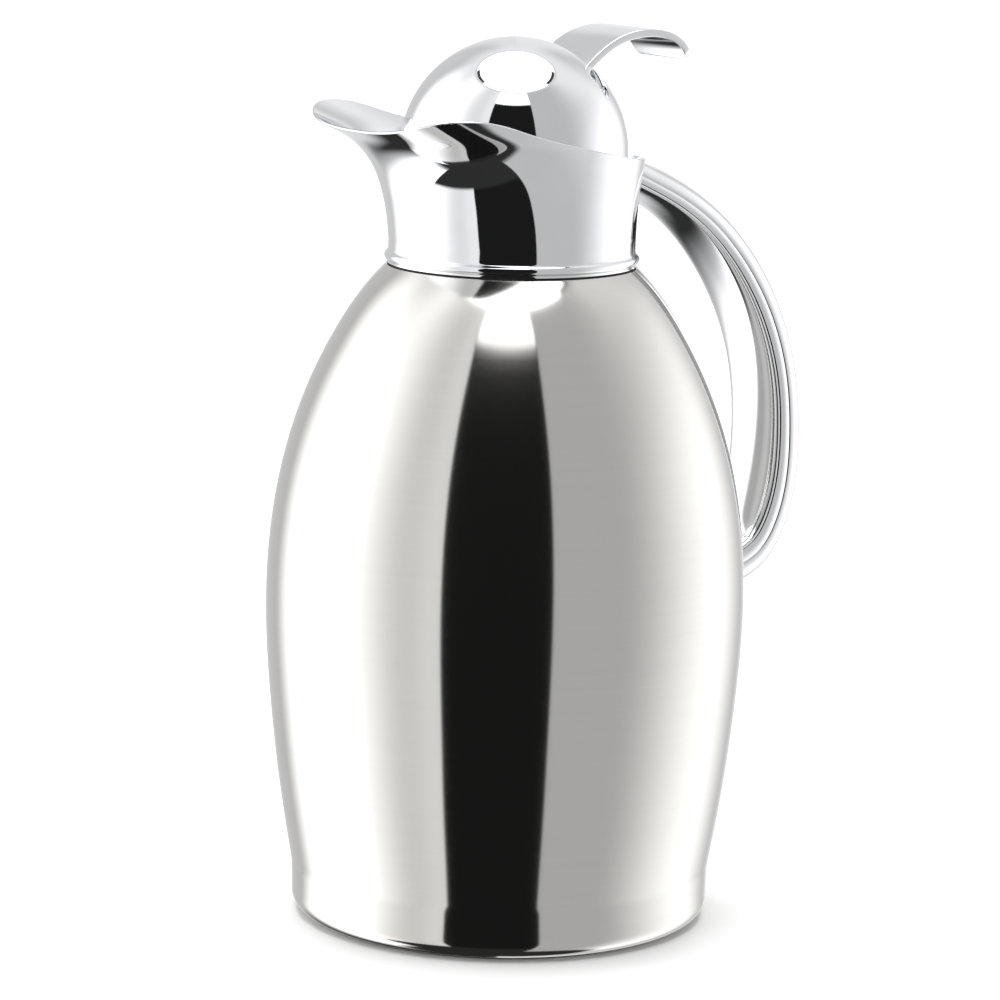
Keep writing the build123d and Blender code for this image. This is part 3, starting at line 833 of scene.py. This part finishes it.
def add_thread(bm):
    """Trapezoid ridge wound up the tube, tapering away at both ends."""
    half_foot, half_crest, buried = 1.5, 0.7, 0.3
    low, high = THREAD_Z[0] + half_foot, THREAD_Z[1] - half_foot
    turns = (high - low) / THREAD_PITCH
    count = int(turns * 96)
    rings = []
    for i in range(count + 1):
        u = i / count
        a = 2 * math.pi * turns * u
        z = low + (high - low) * u
        rise = float(smooth_step(min(u, 1 - u) * turns, 0.0, 0.12)) * (THREAD_R - TUBE_R)
        section = [(TUBE_R - buried, z - half_foot), (TUBE_R + rise, z - half_crest)]
        section += [(TUBE_R + rise, z + half_crest), (TUBE_R - buried, z + half_foot)]
        rings.append([(r * math.cos(a), r * math.sin(a), h) for r, h in section])
    skin(bm, rings, caps=True)


# ---------------------------------------------------------------- studio


def place_camera():
    """Long lens, a little above the pot and to the spout side of the front; metres and degrees."""
    distance, height = 1.260, 0.3518
    pitch, roll, aim = 0.18, 1.2, -0.089
    turn = math.radians(VIEW_SIDE)
    camera_data = bpy.data.cameras.new("camera")
    camera_data.lens = 157.8
    camera_data.clip_start, camera_data.clip_end = 0.05, 60.0
    camera = bpy.data.objects.new("camera", camera_data)
    bpy.context.scene.collection.objects.link(camera)
    yaw = Matrix.Rotation(-turn - math.radians(aim), 4, "Z")
    tilt = Matrix.Rotation(math.pi / 2 - pitch, 4, "X")
    lean = Matrix.Rotation(math.radians(roll), 4, "Z")
    spot = Matrix.Translation((-distance * math.sin(turn), -distance * math.cos(turn), height))
    camera.matrix_world = spot @ yaw @ tilt @ lean
    bpy.context.scene.camera = camera


class World:
    """Soft studio round the pot, as the light that comes from each direction."""

    def __init__(self):
        world = bpy.data.worlds.new("studio")
        bpy.context.scene.world = world
        world.use_nodes = True
        self.tree = world.node_tree
        self.tree.nodes.clear()

    def add(self, kind, *inputs, **settings):
        node = self.tree.nodes.new(kind)
        for key, value in settings.items():
            setattr(node, key, value)
        for socket, value in zip(node.inputs, inputs):
            if isinstance(value, bpy.types.NodeSocket):
                self.tree.links.new(value, socket)
            elif value is not None:
                socket.default_value = value
        return node

    def math(self, operation, *inputs):
        return self.add("ShaderNodeMath", *inputs, operation=operation).outputs["Value"]

    def dot(self, direction, axis):
        """Share of a direction along an axis."""
        node = self.add("ShaderNodeVectorMath", direction, axis, operation="DOT_PRODUCT")
        return node.outputs["Value"]

    def step(self, value, low, high):
        """0 below low, 1 above high, soft between."""
        node = self.add("ShaderNodeMapRange", value, low, high, 0.0, 1.0, interpolation_type="SMOOTHSTEP")
        return node.outputs["Result"]

    def inside(self, value, low, high, soft):
        """1 from low to high, 0 outside, soft at both ends."""
        rise = self.step(value, low - soft, low + soft)
        fall = self.step(value, high - soft, high + soft)
        return self.math("SUBTRACT", rise, fall)

    def blend(self, mask, under, over):
        """over where mask is 1, under where it is 0."""
        gap = self.math("SUBTRACT", over, under)
        return self.math("MULTIPLY_ADD", mask, gap, under)


def build_world():
    """Brightness of the studio by direction: azimuth in degrees from the front, and height as up."""
    turn = math.radians(VIEW_SIDE)
    w = World()
    direction = w.add("ShaderNodeTexCoord").outputs["Generated"]
    right = w.dot(direction, (math.cos(turn), -math.sin(turn), 0.0))
    away = w.dot(direction, (math.sin(turn), math.cos(turn), 0.0))
    up = w.dot(direction, (0.0, 0.0, 1.0))
    front = w.math("MULTIPLY", away, -1.0)
    azimuth = w.math("DEGREES", w.math("ARCTAN2", right, front))

    # Brightness round the horizon: two broad white panels, and dimmer between them and at the back.
    level = w.blend(w.step(azimuth, -46.0, -34.0), 0.87, 0.97)
    level = w.blend(w.step(azimuth, 0.0, 10.0), level, 0.57)
    left_rise = w.math("SUBTRACT", 1.0, w.step(azimuth, -88.0, -48.0))
    left_fall = w.step(azimuth, -144.0, -120.0)
    left_panel = w.math("MULTIPLY", left_rise, left_fall)
    right_rise = w.step(azimuth, 56.0, 122.0)
    right_fall = w.math("SUBTRACT", 1.0, w.step(azimuth, 124.0, 160.0))
    right_panel = w.math("MULTIPLY", right_rise, right_fall)
    behind = w.math("MAXIMUM", w.math("SUBTRACT", 1.0, left_fall), w.step(azimuth, 124.0, 160.0))
    level = w.blend(behind, level, 0.66)
    level = w.blend(w.step(azimuth, 156.0, 172.0), level, 0.9)
    level = w.blend(w.math("SUBTRACT", 1.0, w.step(azimuth, -176.0, -164.0)), level, 0.85)

    # Both panels thin out above, the right one more than the left one.
    left_panel = w.blend(w.step(up, 0.3, 0.75), left_panel, w.math("MULTIPLY", left_panel, 0.6))
    right_panel = w.blend(w.step(up, 0.05, 0.6), right_panel, w.math("MULTIPLY", right_panel, 0.38))
    level = w.blend(left_panel, level, 1.9)
    level = w.blend(right_panel, level, 1.6)
    high_up = w.math("MULTIPLY", w.step(up, 0.6, 0.85), w.step(away, -0.1, 0.3))
    level = w.blend(high_up, level, 0.95)

    # A tall dark gap between the panels, with a bright strip over it.
    gap = w.inside(azimuth, -30.0, 23.0, 0.6)
    above = w.step(up, 0.78, 0.80)
    opening = w.math("MULTIPLY", gap, w.math("SUBTRACT", 1.0, above))
    level = w.blend(opening, level, 0.012)
    strip = w.math("MULTIPLY", gap, above)
    level = w.blend(strip, level, 2.0)

    # Dark low down: ahead of the pot, straight down, and behind its left side.
    deep = w.math("SUBTRACT", 1.0, w.step(up, -0.72, -0.66))
    deep = w.math("MULTIPLY", deep, w.inside(azimuth, -80.0, 23.0, 1.0))
    straight_down = w.math("SUBTRACT", 1.0, w.step(up, -0.92, -0.86))
    low_left = w.math("SUBTRACT", 1.0, w.step(up, -0.56, -0.36))
    low_left = w.math("MULTIPLY", low_left, w.math("SUBTRACT", 1.0, w.step(azimuth, -160.0, -136.0)))
    low = w.math("MAXIMUM", w.math("MAXIMUM", deep, low_left), straight_down)
    level = w.blend(low, level, 0.03)

    # Oval ceiling light, with a dark slit at each side.
    wide = w.math("DIVIDE", right, 0.46)
    long = w.math("DIVIDE", w.math("SUBTRACT", away, 0.083), 0.484)
    oval = w.math("SQRT", w.math("ADD", w.math("MULTIPLY", wide, wide), w.math("MULTIPLY", long, long)))
    overhead = w.step(up, 0.2, 0.3)
    edge = w.math("MULTIPLY", w.inside(oval, 1.0, 1.05, 0.015), overhead)
    level = w.blend(edge, level, 0.75)
    lamp = w.math("MULTIPLY", w.math("SUBTRACT", 1.0, w.step(oval, 0.99, 1.01)), overhead)
    level = w.blend(lamp, level, 3.4)
    slit = w.math("MULTIPLY", w.inside(oval, 0.92, 1.0, 0.012), overhead)
    slit = w.math("MULTIPLY", slit, w.inside(long, -0.36, 0.36, 0.06))
    level = w.blend(slit, level, 0.04)

    # Seen directly, and not in a reflection, the studio is an even white.
    sight = w.add("ShaderNodeLightPath").outputs["Is Camera Ray"]
    level = w.blend(sight, level, 1.0)
    glow = w.add("ShaderNodeBackground", (1.0, 1.0, 1.0, 1.0), level)
    sky = w.add("ShaderNodeOutputWorld")
    w.tree.links.new(glow.outputs["Background"], sky.inputs["Surface"])


def build_floor():
    """Wide pale floor just under the foot pad; metres."""
    bm = bmesh.new()
    reach, drop = 14.0, 0.00005
    corners = [(-reach, -reach), (reach, -reach), (reach, reach), (-reach, reach)]
    bm.faces.new([bm.verts.new((x, y, -drop)) for x, y in corners])
    mesh = bpy.data.meshes.new("floor")
    bm.to_mesh(mesh)
    bm.free()
    floor = bpy.data.objects.new("floor", mesh)
    bpy.context.scene.collection.objects.link(floor)
    s = Shader("pale_floor")
    cloud = s.noise(3.0, 2.0, 0.5)
    s.set(Base_Color=s.mix(cloud, (0.93, 0.93, 0.93), (0.90, 0.90, 0.90)), Roughness=0.85)
    mesh.materials.append(s.material)
    floor.visible_glossy = False


def add_area_light(name, place, size, power, target=(0.0, 0.0, 0.12)):
    """Soft square light that isn't seen in the chrome."""
    data = bpy.data.lights.new(name, "AREA")
    data.shape, data.size, data.energy = "SQUARE", size, power
    light = bpy.data.objects.new(name, data)
    bpy.context.scene.collection.objects.link(light)
    light.location = place
    aim = Vector(target) - Vector(place)
    light.rotation_euler = aim.to_track_quat("-Z", "Y").to_euler()
    light.visible_glossy = False


# ---------------------------------------------------------------- build

dress_cad_nodes()
build_body()
build_pad()
build_collar()
build_handle()
build_dome()
build_lever()
build_stopper()
build_world()
build_floor()
add_area_light("ceiling_light", (0.2, 0.3, 2.2), 1.6, 30.0)
place_camera()
bpy.context.scene.view_settings.view_transform = "Standard"

bpy.context.view_layer.update()
